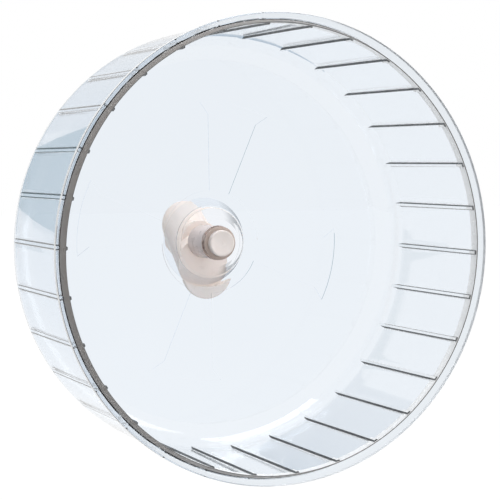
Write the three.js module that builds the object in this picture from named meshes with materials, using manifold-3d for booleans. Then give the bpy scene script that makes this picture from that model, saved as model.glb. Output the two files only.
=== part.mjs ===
// Running wheel for a small hamster: a clear drum on an axle that turns in a wall bracket
// Millimetres, +Z up, axle along Y, open side of the drum towards -Y, origin on the flat back of the bracket

import * as THREE from 'three';
import { mergeVertices } from 'three/addons/utils/BufferGeometryUtils.js';
import Module from 'manifold-3d';

const wasm = await Module();
wasm.setup();

// Drum
const rimRadius = 70;
const drumRadius = 68.4;
const drumDepth = 54.6;
const drumWall = 1.2;
const drumDraft = 0.3;
const discWall = 1.2;
const cornerRadius = 9;

// Rim: a channel open to the front between an inner lip and the outer edge
const channelDepth = 2.6;
const channelFloor = 0.55;
const lipInset = 0.45;
const lipRound = 0.15;
const lipWidth = 0.1;
const rimEdge = 1.3;
const rimRound = 0.3;
const flangeDepth = 3.8;

// Cross ribs on the running wall
const ribCount = 30;
const ribHeight = 1;
const ribWidth = 1.8;
const ribCrestWidth = 0.8;
const ribSetback = 0.5;
const ribPhase = 22.16;

// Faint raised star on the back of the disc
const spokeCount = 4;
const spokePhase = 79;
const spokeHalfAngle = 12;
const spokeFlareAngle = 15.5;
const starHubRadius = 16.8;
const spokeReach = 41.5;
const spokeFlareLength = 4;
const starHeight = 0.35;

// Hub: a bell round a barrel for the axle
const barrelRadius = 5.4;
const barrelReach = 7;
const shoulderDrop = 0.7;
const shoulderRadius = 8.3;
const bellRadius = 14.4;
const bellWall = 1.3;
const bellSkirt = 5.8;
const barrelTail = 0.4;

// Axle with its round cap
const axleRadius = 2.4;
const capRadius = 4.25;
const capHeight = 2;
const capRound = 0.4;
const capDish = 0.35;
const axleEndGap = 0.3;
const axleHoleDepth = 9;

// Ball bearings
const bearingBore = 2.5;
const bearingRadius = 5.5;
const bearingWidth = 4;
const innerLand = 3.3;
const outerLand = 4.7;
const ballRadius = 0.79;
const ballCount = 9;
const grooveGap = 0.12;
const cageWall = 0.7;
const cageWidth = 2.4;
const shieldThickness = 0.3;
const shieldSetback = 0.1;
const shieldGap = 0.1;
const shieldSeat = 0.4;
const bearingGap = 1.3;

// Spacers, retaining washer and screw
const hubSpacerRadius = 3.6;
const innerSpacerRadius = 3.3;
const outerSpacerWall = 0.7;
const washerRadius = 3.4;
const washerThickness = 0.5;
const screwHeadRadius = 2;
const screwHeadHeight = 1.3;
const screwRadius = 1.2;
const screwLength = 8;
const screwRecessRadius = 0.8;
const screwRecessDepth = 0.8;
const screwHoleGap = 0.15;

// Bracket: a body that leans from a low round front to a high round back, and a boss round the bearings
const bracketFrontRadius = 9;
const bracketFrontDrop = 10.3;
const bracketBackRadius = 7.9;
const bracketBackRise = 5.1;
const bracketDiscGap = 2.5;
const bracketRound = 0.9;
const bracketBackRound = 0.4;
const bossSetback = 2.2;
const bossWall = 1;
const bossFrontWall = 1;
const coverThickness = 1.6;
const coverRim = 1.9;
const coverHeadroom = 0.7;

// Cover screw, countersunk
const coverScrewRise = 7.9;
const coverScrewRadius = 0.9;
const coverScrewHeadRadius = 1.6;
const coverScrewHeadHeight = 0.8;
const coverScrewLength = 4.6;
const coverScrewSink = 0.15;
const pilotGap = 0.3;

// Clearances
const runningGap = 0.6;
const seatGap = 0.1;
const fitGap = 0.1;
const openingGap = 0.5;
const overrun = 0.5;

// Smoothness of round shapes
const drumSegments = 60;
const smallSegments = 32;
const raceSegments = 24;
const screwSegments = 16;
const cornerSteps = 5;
const grooveSteps = 3;
const dropSteps = 16;
const bracketSegments = 48;
const ballSegments = 8;
const ballRings = 6;

// Depths, measured back from the plane of the rim
const discBack = drumDepth + discWall;
const bellEdge = discBack + bellSkirt;
const barrelFront = drumDepth - barrelReach;
const shoulderFront = barrelFront + shoulderDrop;
const barrelEnd = bellEdge + barrelTail;
const bracketFront = discBack + bracketDiscGap;
const skirtCutEnd = bellEdge + runningGap;
const bossFront = skirtCutEnd + bossSetback;
const bearingSeat = bossFront + bossFrontWall;
const frontBearing = bearingSeat + seatGap + bearingWidth / 2;
const rearBearing = frontBearing + bearingWidth + bearingGap + 2 * seatGap;
const rearBearingEnd = rearBearing + bearingWidth / 2;
const washerFront = rearBearingEnd + seatGap;
const screwHeadFront = washerFront + washerThickness + seatGap;
const coverFront = screwHeadFront + screwHeadHeight + coverHeadroom;
const backDepth = coverFront + coverThickness;
const axleEnd = rearBearingEnd - axleEndGap;

// Sizes worked out from the driving ones
const pitchRadius = (innerLand + outerLand) / 2;
const grooveRadius = ballRadius + grooveGap;
const seatRadius = bearingRadius + fitGap;
const openingRadius = hubSpacerRadius + openingGap;
const ribCrest = drumRadius - drumWall - ribHeight;
const spokeFlareReach = spokeReach + spokeFlareLength;

const clearPlastic = { color: 0xe4edf3, roughness: 0.06, metalness: 0, transparent: true, opacity: 0.4 };
const beigePlastic = { color: 0xd8cabf, roughness: 0.35, metalness: 0 };
const bearingSteel = { color: 0xb9bcc0, roughness: 0.22, metalness: 1 };
const brassSheet = { color: 0xb99a5a, roughness: 0.35, metalness: 1 };
const zincSteel = { color: 0xa9adb1, roughness: 0.4, metalness: 1 };

// Joins equal corners, drops triangles without area and turns the faces outwards
function closed(geometry) {
  geometry.deleteAttribute('normal');
  geometry.deleteAttribute('uv');
  const merged = mergeVertices(geometry);
  const position = merged.getAttribute('position');
  const kept = [];
  const a = new THREE.Vector3();
  const b = new THREE.Vector3();
  const c = new THREE.Vector3();
  let volume = 0;
  for (let i = 0; i < merged.index.count; i += 3) {
    const corners = [0, 1, 2].map((k) => merged.index.getX(i + k));
    if (new Set(corners).size < 3) continue;
    a.fromBufferAttribute(position, corners[0]);
    b.fromBufferAttribute(position, corners[1]);
    c.fromBufferAttribute(position, corners[2]);
    volume += a.dot(b.cross(c));
    kept.push(corners);
  }
  merged.setIndex(kept.map((corners) => (volume < 0 ? [...corners].reverse() : corners)).flat());
  return merged;
}

function solid(geometry) {
  const shape = closed(geometry);
  return new wasm.Manifold(new wasm.Mesh({
    numProp: 3,
    vertProperties: new Float32Array(shape.getAttribute('position').array),
    triVerts: new Uint32Array(shape.index.array),
  }));
}

function geometryOf(manifold) {
  const mesh = manifold.getMesh();
  const geometry = new THREE.BufferGeometry();
  geometry.setAttribute('position', new THREE.BufferAttribute(mesh.vertProperties, 3));
  geometry.setIndex(new THREE.BufferAttribute(mesh.triVerts, 1));
  return geometry;
}

// A solid of revolution about Y, from [radius, depth] points
function turned(profile, segments) {
  const onAxis = profile[0][0] === 0;
  const loop = onAxis ? profile : [...profile, profile[0]];
  return closed(new THREE.LatheGeometry(loop.map(([r, depth]) => new THREE.Vector2(r, depth)), segments));
}

// A washer, sleeve or ring between two radii and two depths
function ring(inner, outer, from, to, segments) {
  return turned([[inner, from], [outer, from], [outer, to], [inner, to]], segments);
}

// A solid bar about Y
function bar(radius, from, to, segments) {
  return turned([[0, from], [radius, from], [radius, to], [0, to]], segments);
}

// Points of an arc in the plane of radius and depth, or of an ellipse where the two half axes differ
function arc(centreRadius, centreDepth, radius, from, to, steps, depthRadius = radius) {
  return Array.from({ length: steps + 1 }, (_, i) => {
    const angle = from + (to - from) * (i / steps);
    return [centreRadius + radius * Math.cos(angle), centreDepth + depthRadius * Math.sin(angle)];
  });
}

// A flat outline in X and Z, pulled out between two depths
function slab(outline, from, to) {
  const geometry = new THREE.ExtrudeGeometry(outline, { depth: to - from, bevelEnabled: false });
  return geometry.rotateX(Math.PI / 2).translate(0, to, 0);
}

function radians(degrees) {
  return THREE.MathUtils.degToRad(degrees);
}

const assembly = new THREE.Group();

function addMesh(group, name, geometry, finish) {
  const mesh = new THREE.Mesh(geometry, new THREE.MeshStandardMaterial(finish));
  mesh.name = name;
  group.add(mesh);
  return mesh;
}

// Outer radius of the bell at a depth
const bellSlope = (bellRadius - shoulderRadius) / (bellEdge - shoulderFront);
const bellAt = (depth) => shoulderRadius + bellSlope * (depth - shoulderFront);

// Drum: the closed profile runs from the lip round the rim, down the outside, in to the hub and out again
function drumProfile() {
  const wallInner = drumRadius - drumWall;
  const lipInner = wallInner - lipInset;
  const valley = drumRadius - channelFloor;
  const rearRadius = drumRadius - drumDraft;
  const cornerCentre = rearRadius - cornerRadius;
  const cornerStart = discBack - cornerRadius;
  const bellInner = (depth) => bellAt(depth) - bellWall * Math.hypot(1, bellSlope);
  const bellRoof = shoulderFront + bellWall;
  return [
    [lipInner, lipRound],
    [lipInner + lipRound, 0],
    [lipInner + lipRound + lipWidth, 0],
    [valley, channelDepth],
    [rimRadius - rimRound, 0],
    [rimRadius, rimRound],
    [rimRadius, rimEdge],
    [drumRadius + rimRound, flangeDepth - rimRound],
    [drumRadius, flangeDepth],
    ...arc(cornerCentre, cornerStart, cornerRadius, 0, Math.PI / 2, cornerSteps),
    [bellAt(discBack), discBack],
    [bellRadius, bellEdge],
    [bellInner(bellEdge), bellEdge],
    [bellInner(bellRoof), bellRoof],
    [barrelRadius, bellRoof],
    [barrelRadius, barrelEnd],
    [axleRadius + fitGap, barrelEnd],
    [axleRadius + fitGap, barrelFront],
    [barrelRadius, barrelFront],
    [barrelRadius, shoulderFront],
    [shoulderRadius - rimRound, shoulderFront],
    [bellAt(shoulderFront + rimRound), shoulderFront + rimRound],
    [bellAt(drumDepth), drumDepth],
    ...arc(cornerCentre, cornerStart, cornerRadius - drumWall, Math.PI / 2, 0, cornerSteps,
      cornerRadius - discWall),
    [wallInner, flangeDepth],
    [lipInner, flangeDepth - lipInset],
  ];
}

// One rib in the plane of radius and depth, sunk to the middle of the wall, drafted and ended by the corner
function ribGeometry() {
  const middle = drumRadius - drumDraft - drumWall / 2;
  const centre = drumRadius - drumDraft - cornerRadius;
  const start = discBack - cornerRadius;
  const radius = middle - centre;
  const end = Math.acos((ribCrest - centre) / radius);
  const outline = new THREE.Shape([
    [ribCrest, ribSetback],
    [middle, ribSetback],
    ...arc(centre, start, radius, 0, end, cornerSteps),
  ].map(([r, depth]) => new THREE.Vector2(r, depth)));
  const geometry = new THREE.ExtrudeGeometry(outline, { depth: ribWidth, bevelEnabled: false });
  geometry.translate(0, 0, -ribWidth / 2);
  const position = geometry.getAttribute('position');
  const wallInner = drumRadius - drumWall;
  for (let i = 0; i < position.count; i += 1) {
    const share = Math.min(1, Math.max(0, (wallInner - position.getX(i)) / ribHeight));
    position.setZ(i, position.getZ(i) * (1 - share * (1 - ribCrestWidth / ribWidth)));
  }
  return geometry;
}

// The star: a hub ring with flared spokes, on the back of the disc
function starGeometry() {
  const outline = new THREE.Shape();
  const point = (radius, degrees) => {
    const angle = radians(degrees);
    return [radius * Math.cos(angle), radius * Math.sin(angle)];
  };
  const arcTo = (radius, from, to) => outline.absarc(0, 0, radius, radians(from), radians(to));
  const pitch = 360 / spokeCount;
  for (let i = 0; i < spokeCount; i += 1) {
    const middle = spokePhase + i * pitch;
    if (i === 0) outline.moveTo(...point(starHubRadius, middle - spokeHalfAngle));
    else arcTo(starHubRadius, middle - pitch + spokeHalfAngle, middle - spokeHalfAngle);
    outline.lineTo(...point(spokeReach, middle - spokeHalfAngle));
    arcTo(spokeFlareReach, middle - spokeFlareAngle, middle + spokeFlareAngle);
    outline.lineTo(...point(spokeReach, middle + spokeHalfAngle));
  }
  arcTo(starHubRadius, spokePhase - pitch + spokeHalfAngle, spokePhase - spokeHalfAngle);
  const hole = new THREE.Path();
  hole.absarc(0, 0, bellAt(discBack) - bellWall / 2, 0, 2 * Math.PI);
  outline.holes.push(hole);
  return slab(outline, discBack - discWall / 2, discBack + starHeight);
}

function drumGeometry() {
  let drum = solid(turned(drumProfile(), drumSegments)).add(solid(starGeometry()));
  for (let i = 0; i < ribCount; i += 1) {
    drum = drum.add(solid(ribGeometry().rotateY(-radians(ribPhase + i * (360 / ribCount)))));
  }
  return geometryOf(drum);
}

// Axle: dished cap in front, plain shank, blind hole for the retaining screw behind
function axleGeometry() {
  const capFront = barrelFront - seatGap - capHeight;
  const hole = screwRadius + screwHoleGap;
  return turned([
    [0, capFront + capDish],
    [capRadius - 2 * capRound, capFront + capDish / 2],
    [capRadius - capRound, capFront],
    [capRadius, capFront + capRound],
    [capRadius, capFront + capHeight],
    [axleRadius, capFront + capHeight],
    [axleRadius, axleEnd],
    [hole, axleEnd],
    [hole, axleEnd - axleHoleDepth],
    [0, axleEnd - axleHoleDepth],
  ], smallSegments);
}

const wheel = new THREE.Group();
addMesh(wheel, 'wheel_drum', drumGeometry(), clearPlastic);
addMesh(wheel, 'axle', axleGeometry(), beigePlastic);

const sleeveBore = axleRadius + fitGap;
const hubSpacerEnd = frontBearing - bearingWidth / 2 - seatGap;
addMesh(wheel, 'hub_spacer',
  ring(sleeveBore, hubSpacerRadius, barrelEnd + seatGap, hubSpacerEnd, raceSegments), beigePlastic);
const spacerFront = frontBearing + bearingWidth / 2 + seatGap;
const spacerRear = spacerFront + bearingGap;
addMesh(wheel, 'inner_spacer',
  ring(sleeveBore, innerSpacerRadius, spacerFront, spacerRear, raceSegments), zincSteel);
const washerBack = washerFront + washerThickness;
addMesh(wheel, 'retaining_washer',
  ring(screwRadius + screwHoleGap, washerRadius, washerFront, washerBack, raceSegments), zincSteel);
const screwHeadEnd = screwHeadFront + screwHeadHeight;
addMesh(wheel, 'retaining_screw', turned([
  [0, screwHeadFront - screwLength],
  [screwRadius, screwHeadFront - screwLength],
  [screwRadius, screwHeadFront],
  [screwHeadRadius, screwHeadFront],
  [screwHeadRadius, screwHeadEnd - screwRecessDepth / 2],
  [screwRecessRadius, screwHeadEnd],
  [screwRecessRadius, screwHeadEnd - screwRecessDepth],
  [0, screwHeadEnd - screwRecessDepth],
], screwSegments), zincSteel);

// Bearing pieces are drawn about the middle of the bearing and placed by their group
const half = bearingWidth / 2;
const grooveHalfAngle = (land) => Math.acos(Math.abs(land - pitchRadius) / grooveRadius);

function outerRace() {
  const open = grooveHalfAngle(outerLand);
  const rebate = outerLand + shieldSeat;
  const step = half - shieldSetback - shieldThickness - shieldGap;
  return turned([
    [bearingRadius, -half],
    [bearingRadius, half],
    [rebate, half],
    [rebate, step],
    [outerLand, step],
    ...arc(pitchRadius, 0, grooveRadius, open, -open, grooveSteps),
    [outerLand, -step],
    [rebate, -step],
    [rebate, -half],
  ], raceSegments);
}

function innerRace() {
  const open = grooveHalfAngle(innerLand);
  return turned([
    [bearingBore, half],
    [bearingBore, -half],
    [innerLand, -half],
    ...arc(pitchRadius, 0, grooveRadius, Math.PI + open, Math.PI - open, grooveSteps),
    [innerLand, half],
  ], raceSegments);
}

function shield(side) {
  const outer = side * (half - shieldSetback);
  const inner = side * (half - shieldSetback - shieldThickness);
  const bore = innerLand + shieldGap + fitGap / 2;
  const rim = outerLand + shieldSeat - shieldGap;
  return ring(bore, rim, Math.min(inner, outer), Math.max(inner, outer), raceSegments);
}

function ballPlace(i) {
  const angle = -i * (2 * Math.PI / ballCount);
  return [pitchRadius * Math.cos(angle), 0, pitchRadius * Math.sin(angle)];
}

function ballCage() {
  const bore = pitchRadius - cageWall / 2;
  let cage = solid(ring(bore, bore + cageWall, -cageWidth / 2, cageWidth / 2, 3 * ballCount));
  for (let i = 0; i < ballCount; i += 1) {
    const pocket = bar(grooveRadius, -cageWall, cageWall, ballSegments).rotateZ(Math.PI / 2);
    pocket.translate(pitchRadius, 0, 0).rotateY(i * (2 * Math.PI / ballCount));
    cage = cage.subtract(solid(pocket));
  }
  return geometryOf(cage);
}

for (const [place, depth] of [['front', frontBearing], ['rear', rearBearing]]) {
  const bearing = new THREE.Group();
  bearing.position.y = depth;
  addMesh(bearing, `${place}_bearing_outer_race`, outerRace(), bearingSteel);
  addMesh(bearing, `${place}_bearing_inner_race`, innerRace(), bearingSteel);
  addMesh(bearing, `${place}_bearing_cage`, ballCage(), brassSheet);
  addMesh(bearing, `${place}_bearing_shield_front`, shield(-1), zincSteel);
  addMesh(bearing, `${place}_bearing_shield_back`, shield(1), zincSteel);
  for (let i = 0; i < ballCount; i += 1) {
    const ball = closed(new THREE.SphereGeometry(ballRadius, ballSegments, ballRings));
    addMesh(bearing, `${place}_bearing_ball_${i + 1}`, ball, bearingSteel).position.set(...ballPlace(i));
  }
  assembly.add(bearing);
}

// Outline of two round ends joined by their common tangents, the upper end first
function drop(upper, lower) {
  const lean = Math.asin((upper.radius - lower.radius) / (upper.rise - lower.rise));
  const end = ({ rise, radius }, from, to) => Array.from({ length: dropSteps + 1 }, (_, i) => {
    const angle = from + (to - from) * (i / dropSteps);
    return new THREE.Vector2(radius * Math.cos(angle), rise + radius * Math.sin(angle));
  });
  return [...end(upper, -lean, Math.PI + lean), ...end(lower, Math.PI + lean, 2 * Math.PI - lean)];
}

// A closed body through circles about Y, each with its own depth, height and radius
function loft(stations, segments) {
  const positions = [];
  const index = [];
  for (const { depth, rise, radius } of stations) {
    for (let i = 0; i < segments; i += 1) {
      const angle = 2 * Math.PI * (i / segments);
      positions.push(radius * Math.cos(angle), depth, rise + radius * Math.sin(angle));
    }
  }
  for (let s = 0; s + 1 < stations.length; s += 1) {
    for (let i = 0; i < segments; i += 1) {
      const a = s * segments + i;
      const b = s * segments + ((i + 1) % segments);
      index.push(a, b, b + segments, a, b + segments, a + segments);
    }
  }
  [[0, false], [stations.length - 1, true]].forEach(([s, last]) => {
    const centre = positions.length / 3;
    positions.push(0, stations[s].depth, stations[s].rise);
    for (let i = 0; i < segments; i += 1) {
      const a = s * segments + i;
      const b = s * segments + ((i + 1) % segments);
      index.push(...(last ? [a, b, centre] : [b, a, centre]));
    }
  });
  const geometry = new THREE.BufferGeometry();
  geometry.setAttribute('position', new THREE.Float32BufferAttribute(positions, 3));
  geometry.setIndex(index);
  return geometry;
}

// The leaning body of the bracket, with rounded edges
function bracketBody() {
  const length = backDepth - bracketFront;
  const station = (depth, inset) => {
    const share = (depth - bracketFront) / length;
    return {
      depth,
      rise: (bracketBackRise + bracketFrontDrop) * share - bracketFrontDrop,
      radius: bracketFrontRadius + (bracketBackRadius - bracketFrontRadius) * share - inset,
    };
  };
  const rounding = (edge, round, inwards) => Array.from({ length: grooveSteps + 1 }, (_, i) => {
    const angle = (Math.PI / 2) * (i / grooveSteps);
    return station(edge + inwards * round * (1 - Math.sin(angle)), round * (1 - Math.cos(angle)));
  });
  const front = rounding(bracketFront, bracketRound, 1).reverse();
  const back = rounding(backDepth, bracketBackRound, -1);
  return loft([...front, ...back], bracketSegments);
}

// Outline of the cover, smaller than its recess by a gap: the lower end is concentric with the bearings
function coverOutline(gap) {
  const upper = { rise: bracketBackRise, radius: bracketBackRadius - coverRim - gap };
  return new THREE.Shape(drop(upper, { rise: 0, radius: seatRadius - gap }));
}

// Housing: the body and the boss, cut back where the skirt of the bell runs, bored for the bearings
function bracketHousing() {
  const tip = backDepth - coverScrewSink - coverScrewLength;
  const pilot = bar(coverScrewRadius + fitGap, tip - pilotGap, coverFront + overrun, screwSegments);
  const skirtCut = bar(bellRadius + runningGap, bracketFront - overrun, skirtCutEnd, bracketSegments);
  return geometryOf(solid(bracketBody())
    .add(solid(bar(seatRadius + bossWall, bossFront, backDepth, bracketSegments)))
    .subtract(solid(skirtCut))
    .subtract(solid(bar(openingRadius, bracketFront - overrun, bearingSeat + overrun, smallSegments)))
    .subtract(solid(bar(seatRadius, bearingSeat, coverFront + overrun, smallSegments)))
    .subtract(solid(slab(coverOutline(0), coverFront, backDepth + overrun)))
    .subtract(solid(pilot.translate(0, 0, coverScrewRise))));
}

// Cover: flat back plate with a collar that holds the rear bearing in its seat
function bracketCover() {
  const collarInner = bearingRadius - outerSpacerWall;
  const collar = ring(collarInner, bearingRadius, rearBearingEnd + seatGap, coverFront + overrun, smallSegments);
  const sinkRadius = coverScrewHeadRadius + fitGap;
  const sinkDepth = coverScrewHeadHeight + coverScrewSink;
  const screwHole = turned([
    [0, coverFront - overrun],
    [coverScrewRadius + fitGap, coverFront - overrun],
    [coverScrewRadius + fitGap, backDepth - sinkDepth - fitGap],
    [sinkRadius, backDepth - coverScrewSink],
    [sinkRadius, backDepth + overrun],
    [0, backDepth + overrun],
  ], screwSegments).translate(0, 0, coverScrewRise);
  return geometryOf(solid(slab(coverOutline(fitGap), coverFront + fitGap, backDepth))
    .add(solid(collar))
    .subtract(solid(screwHole)));
}

function coverScrew() {
  const top = backDepth - coverScrewSink;
  return turned([
    [0, top - coverScrewLength],
    [coverScrewRadius, top - coverScrewLength + coverScrewRadius],
    [coverScrewRadius, top - coverScrewHeadHeight],
    [coverScrewHeadRadius, top],
    [coverScrewRadius / 2, top],
    [0, top - coverScrewHeadHeight / 2],
  ], screwSegments).translate(0, 0, coverScrewRise);
}

addMesh(assembly, 'outer_spacer',
  ring(bearingRadius - outerSpacerWall, bearingRadius, spacerFront, spacerRear, raceSegments), zincSteel);
addMesh(assembly, 'bracket_housing', bracketHousing(), beigePlastic);
addMesh(assembly, 'bracket_cover', bracketCover(), beigePlastic);
addMesh(assembly, 'cover_screw', coverScrew(), zincSteel);

assembly.add(wheel);
assembly.position.y = -backDepth;

export default assembly;
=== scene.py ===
"""Running wheel for a small hamster: a clear drum on a beige axle, held by a beige wall bracket.

Lengths are in millimetres until MM turns them into metres. Depths run back from the plane of the
rim, and the axle lies along Y.
"""
import math

import bmesh
import bpy
from mathutils import Matrix, Vector


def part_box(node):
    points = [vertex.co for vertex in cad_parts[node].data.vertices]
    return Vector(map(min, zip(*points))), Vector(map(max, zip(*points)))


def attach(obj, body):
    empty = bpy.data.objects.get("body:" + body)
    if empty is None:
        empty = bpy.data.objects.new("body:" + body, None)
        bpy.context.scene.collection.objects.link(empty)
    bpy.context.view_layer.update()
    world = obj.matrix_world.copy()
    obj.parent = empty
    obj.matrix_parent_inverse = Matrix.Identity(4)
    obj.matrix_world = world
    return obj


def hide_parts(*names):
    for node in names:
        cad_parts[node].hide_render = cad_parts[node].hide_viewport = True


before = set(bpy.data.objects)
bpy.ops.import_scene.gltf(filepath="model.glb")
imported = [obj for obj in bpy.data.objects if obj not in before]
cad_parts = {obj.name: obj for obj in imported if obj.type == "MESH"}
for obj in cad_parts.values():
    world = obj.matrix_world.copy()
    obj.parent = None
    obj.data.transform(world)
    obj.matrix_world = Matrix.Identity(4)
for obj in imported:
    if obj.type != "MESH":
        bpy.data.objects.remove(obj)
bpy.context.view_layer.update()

MM = 0.001
RIM_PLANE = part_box("wheel_drum")[0].y
AXLE_LINE = Vector((0, 1, 0))

# Drum
RIM_RADIUS = 70.0
DRUM_RADIUS = 68.4
DRUM_DEPTH = 54.6
DRUM_WALL = 1.2
DRUM_DRAFT = 0.3
DISC_WALL = 1.2
DISC_RING = 29.0
CORNER_RADIUS = 9.0
CHANNEL_DEPTH = 2.6
CHANNEL_FLOOR = 0.55
CHANNEL_SLOPE = 0.24
CHANNEL_INNER_STEP = 0.08
CHANNEL_OUTER_STEP = 0.17
LIP_INSET = 0.45
LIP_ROUND = 0.15
LIP_WIDTH = 0.1
RIM_EDGE = 1.3
RIM_ROUND = 0.3
FLANGE_DEPTH = 3.8

# Cross ribs and the star on the disc
RIB_COUNT = 30
RIB_HEIGHT = 1.0
RIB_WIDTH = 1.8
RIB_CREST_WIDTH = 0.8
RIB_TIP_WIDTH = 0.25
# Share of a rib's height that is its foot: the foot gets a painted light band, the crest above it
# painted shade.
RIB_FOOT_SHARE = 0.35
RIB_SETBACK = 0.5
RIB_PHASE = 22.16
STEPS_BETWEEN_RIBS = 7
SPOKE_COUNT = 4
SPOKE_PHASE = 79.0
SPOKE_HALF_ANGLE = 12.0
SPOKE_FLARE_ANGLE = 15.5
SPOKE_EDGE_SEARCH = 8
STAR_HUB_RADIUS = 16.8
SPOKE_REACH = 41.5
SPOKE_FLARE_REACH = 45.5
STAR_HEIGHT = 0.35

# Hub
BARREL_RADIUS = 5.4
BARREL_REACH = 7.0
SHOULDER_DROP = 0.7
SHOULDER_RADIUS = 8.3
BELL_RADIUS = 14.4
BELL_WALL = 1.3
BELL_SKIRT = 5.8
BARREL_TAIL = 0.4
HUB_EDGE = 0.15
AXLE_RADIUS = 2.4
AXLE_HOLE_DEPTH = 9.0
AXLE_END_GAP = 0.3
AXLE_END_EDGE = 0.2
FIT_GAP = 0.1
SEAT_GAP = 0.1
RUNNING_GAP = 0.6
CAP_RADIUS = 4.25
CAP_HEIGHT = 2.0
CAP_ROUND = 0.4
CAP_DISH = 0.35
CAP_DISH_SHARES = ((0, 1), (0.35, 0.88), (0.65, 0.55), (0.85, 0.2), (0.95, 0.03))

# Bearings, spacers, washer and retaining screw
BEARING_BORE = 2.5
BEARING_RADIUS = 5.5
BEARING_WIDTH = 4.0
INNER_LAND = 3.3
OUTER_LAND = 4.7
OUTER_RACE_EDGE = 0.2
INNER_RACE_EDGE = 0.15
PITCH_RADIUS = (INNER_LAND + OUTER_LAND) / 2
BALL_RADIUS = 0.79
BALL_COUNT = 9
GROOVE_RADIUS = 0.91
CAGE_WALL = 0.7
CAGE_WIDTH = 2.4
CAGE_EDGE = 0.05
SHIELD_THICKNESS = 0.3
SHIELD_SETBACK = 0.1
SHIELD_GAP = 0.1
SHIELD_SEAT = 0.4
SHIELD_FOLD_SHARE = 0.7
SHIELD_STEP_SHARE = 0.35
SHIELD_DISH = 0.02
BEARING_GAP = 1.3
SLEEVE_EDGE = 0.08
HUB_SPACER_RADIUS = 3.6
INNER_SPACER_RADIUS = 3.3
OUTER_SPACER_WALL = 0.7
WASHER_RADIUS = 3.4
WASHER_THICKNESS = 0.5
SCREW_HEAD_RADIUS = 2.0
SCREW_HEAD_HEIGHT = 1.3
SCREW_HEAD_SIDE = 0.5
SCREW_RADIUS = 1.2
SCREW_LENGTH = 8.0
SCREW_PITCH = 0.5
SCREW_HOLE_GAP = 0.15

# Bracket: a body that leans from a low round front to a high round back, and a bearing boss
BRACKET_FRONT_RADIUS = 9.0
BRACKET_FRONT_DROP = 10.3
BRACKET_BACK_RADIUS = 7.9
BRACKET_BACK_RISE = 5.1
BRACKET_DISC_GAP = 2.5
BRACKET_ROUND = 0.9
BRACKET_BACK_ROUND = 0.4
BRACKET_EDGE = 0.15
BOSS_SETBACK = 2.2
BOSS_WALL = 1.0
BOSS_FRONT_WALL = 1.0
OPENING_GAP = 0.5
COVER_THICKNESS = 1.6
COVER_RIM = 1.9
COVER_EDGE = 0.12
COVER_SCREW_RISE = 7.9
COVER_SCREW_RADIUS = 0.9
COVER_SCREW_HEAD_RADIUS = 1.6
COVER_SCREW_HEAD_HEIGHT = 0.8
COVER_SCREW_LENGTH = 4.6
COVER_SCREW_PITCH = 0.45
COVER_SCREW_SINK = 0.15
PILOT_GAP = 0.3
OVERRUN = 0.5

# Thread and driver's recess, for both screws
THREAD_DEPTH = 0.18
THREAD_RISE_SHARE = 0.35
THREAD_CREST_SHARE = 0.45
RECESS_ARM_SHARE = 0.36
RECESS_TAPER = (0.45, 1, 0.7)
RECESS_TURN = 45

# Depths that several pieces share
DISC_BACK = DRUM_DEPTH + DISC_WALL
BELL_EDGE = DISC_BACK + BELL_SKIRT
BARREL_FRONT = DRUM_DEPTH - BARREL_REACH
SHOULDER_FRONT = BARREL_FRONT + SHOULDER_DROP
BELL_ROOF = SHOULDER_FRONT + BELL_WALL
BARREL_END = BELL_EDGE + BARREL_TAIL
BRACKET_FRONT = DISC_BACK + BRACKET_DISC_GAP
SKIRT_CUT_END = BELL_EDGE + RUNNING_GAP
BOSS_FRONT = SKIRT_CUT_END + BOSS_SETBACK
BEARING_SEAT = BOSS_FRONT + BOSS_FRONT_WALL
FRONT_BEARING = BEARING_SEAT + SEAT_GAP + BEARING_WIDTH / 2
REAR_BEARING = FRONT_BEARING + BEARING_WIDTH + BEARING_GAP + 2 * SEAT_GAP
REAR_BEARING_END = REAR_BEARING + BEARING_WIDTH / 2
WASHER_FRONT = REAR_BEARING_END + SEAT_GAP
SCREW_HEAD_FRONT = WASHER_FRONT + WASHER_THICKNESS + SEAT_GAP
BACK_DEPTH = -RIM_PLANE / MM
COVER_FRONT = BACK_DEPTH - COVER_THICKNESS
COVER_SCREW_TOP = BACK_DEPTH - COVER_SCREW_SINK
SEAT_RADIUS = BEARING_RADIUS + FIT_GAP

# How finely round pieces are divided, and how near counts as touching
FINE_STEPS = 96
SLEEVE_STEPS = 72
SCREW_STEPS = 48
TOUCH = 0.01
HAIR = 0.02
NEAR = 0.05
SHARP_ANGLE = 32


# Shared shapes

def new_mesh():
    """An empty bmesh to build a piece in."""
    return bmesh.new()


def merge(bm, distance=0.002):
    """Joins corners that lie on each other and turns the faces outwards."""
    bmesh.ops.remove_doubles(bm, verts=bm.verts, dist=distance * MM)
    bmesh.ops.dissolve_degenerate(bm, edges=bm.edges, dist=distance * MM / 4)
    bmesh.ops.recalc_face_normals(bm, faces=bm.faces)


def section(bm, points, closed=True):
    """The outline of a turned piece, from (radius, depth) points, in the plane of the axle."""
    corners = [bm.verts.new((r * MM, RIM_PLANE + depth * MM, 0)) for r, depth in points]
    pairs = list(zip(corners, corners[1:]))
    if closed:
        pairs.append((corners[-1], corners[0]))
    return corners + [bm.edges.new(pair) for pair in pairs]


def sweep(bm, geometry, degrees, steps):
    """Turns geometry about the axle and returns its last position."""
    turn = bmesh.ops.spin(
        bm, geom=geometry, cent=(0, 0, 0), axis=AXLE_LINE, angle=math.radians(degrees),
        steps=steps, use_duplicate=False,
    )
    return turn["geom_last"]


def turned(points, steps=FINE_STEPS, closed=True):
    """A piece turned on a lathe: its outline spun once round the axle."""
    bm = new_mesh()
    bmesh.ops.spin(
        bm, geom=section(bm, points, closed), cent=(0, 0, 0), axis=AXLE_LINE,
        angle=2 * math.pi, steps=steps, use_merge=True,
    )
    merge(bm)
    return bm


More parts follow.
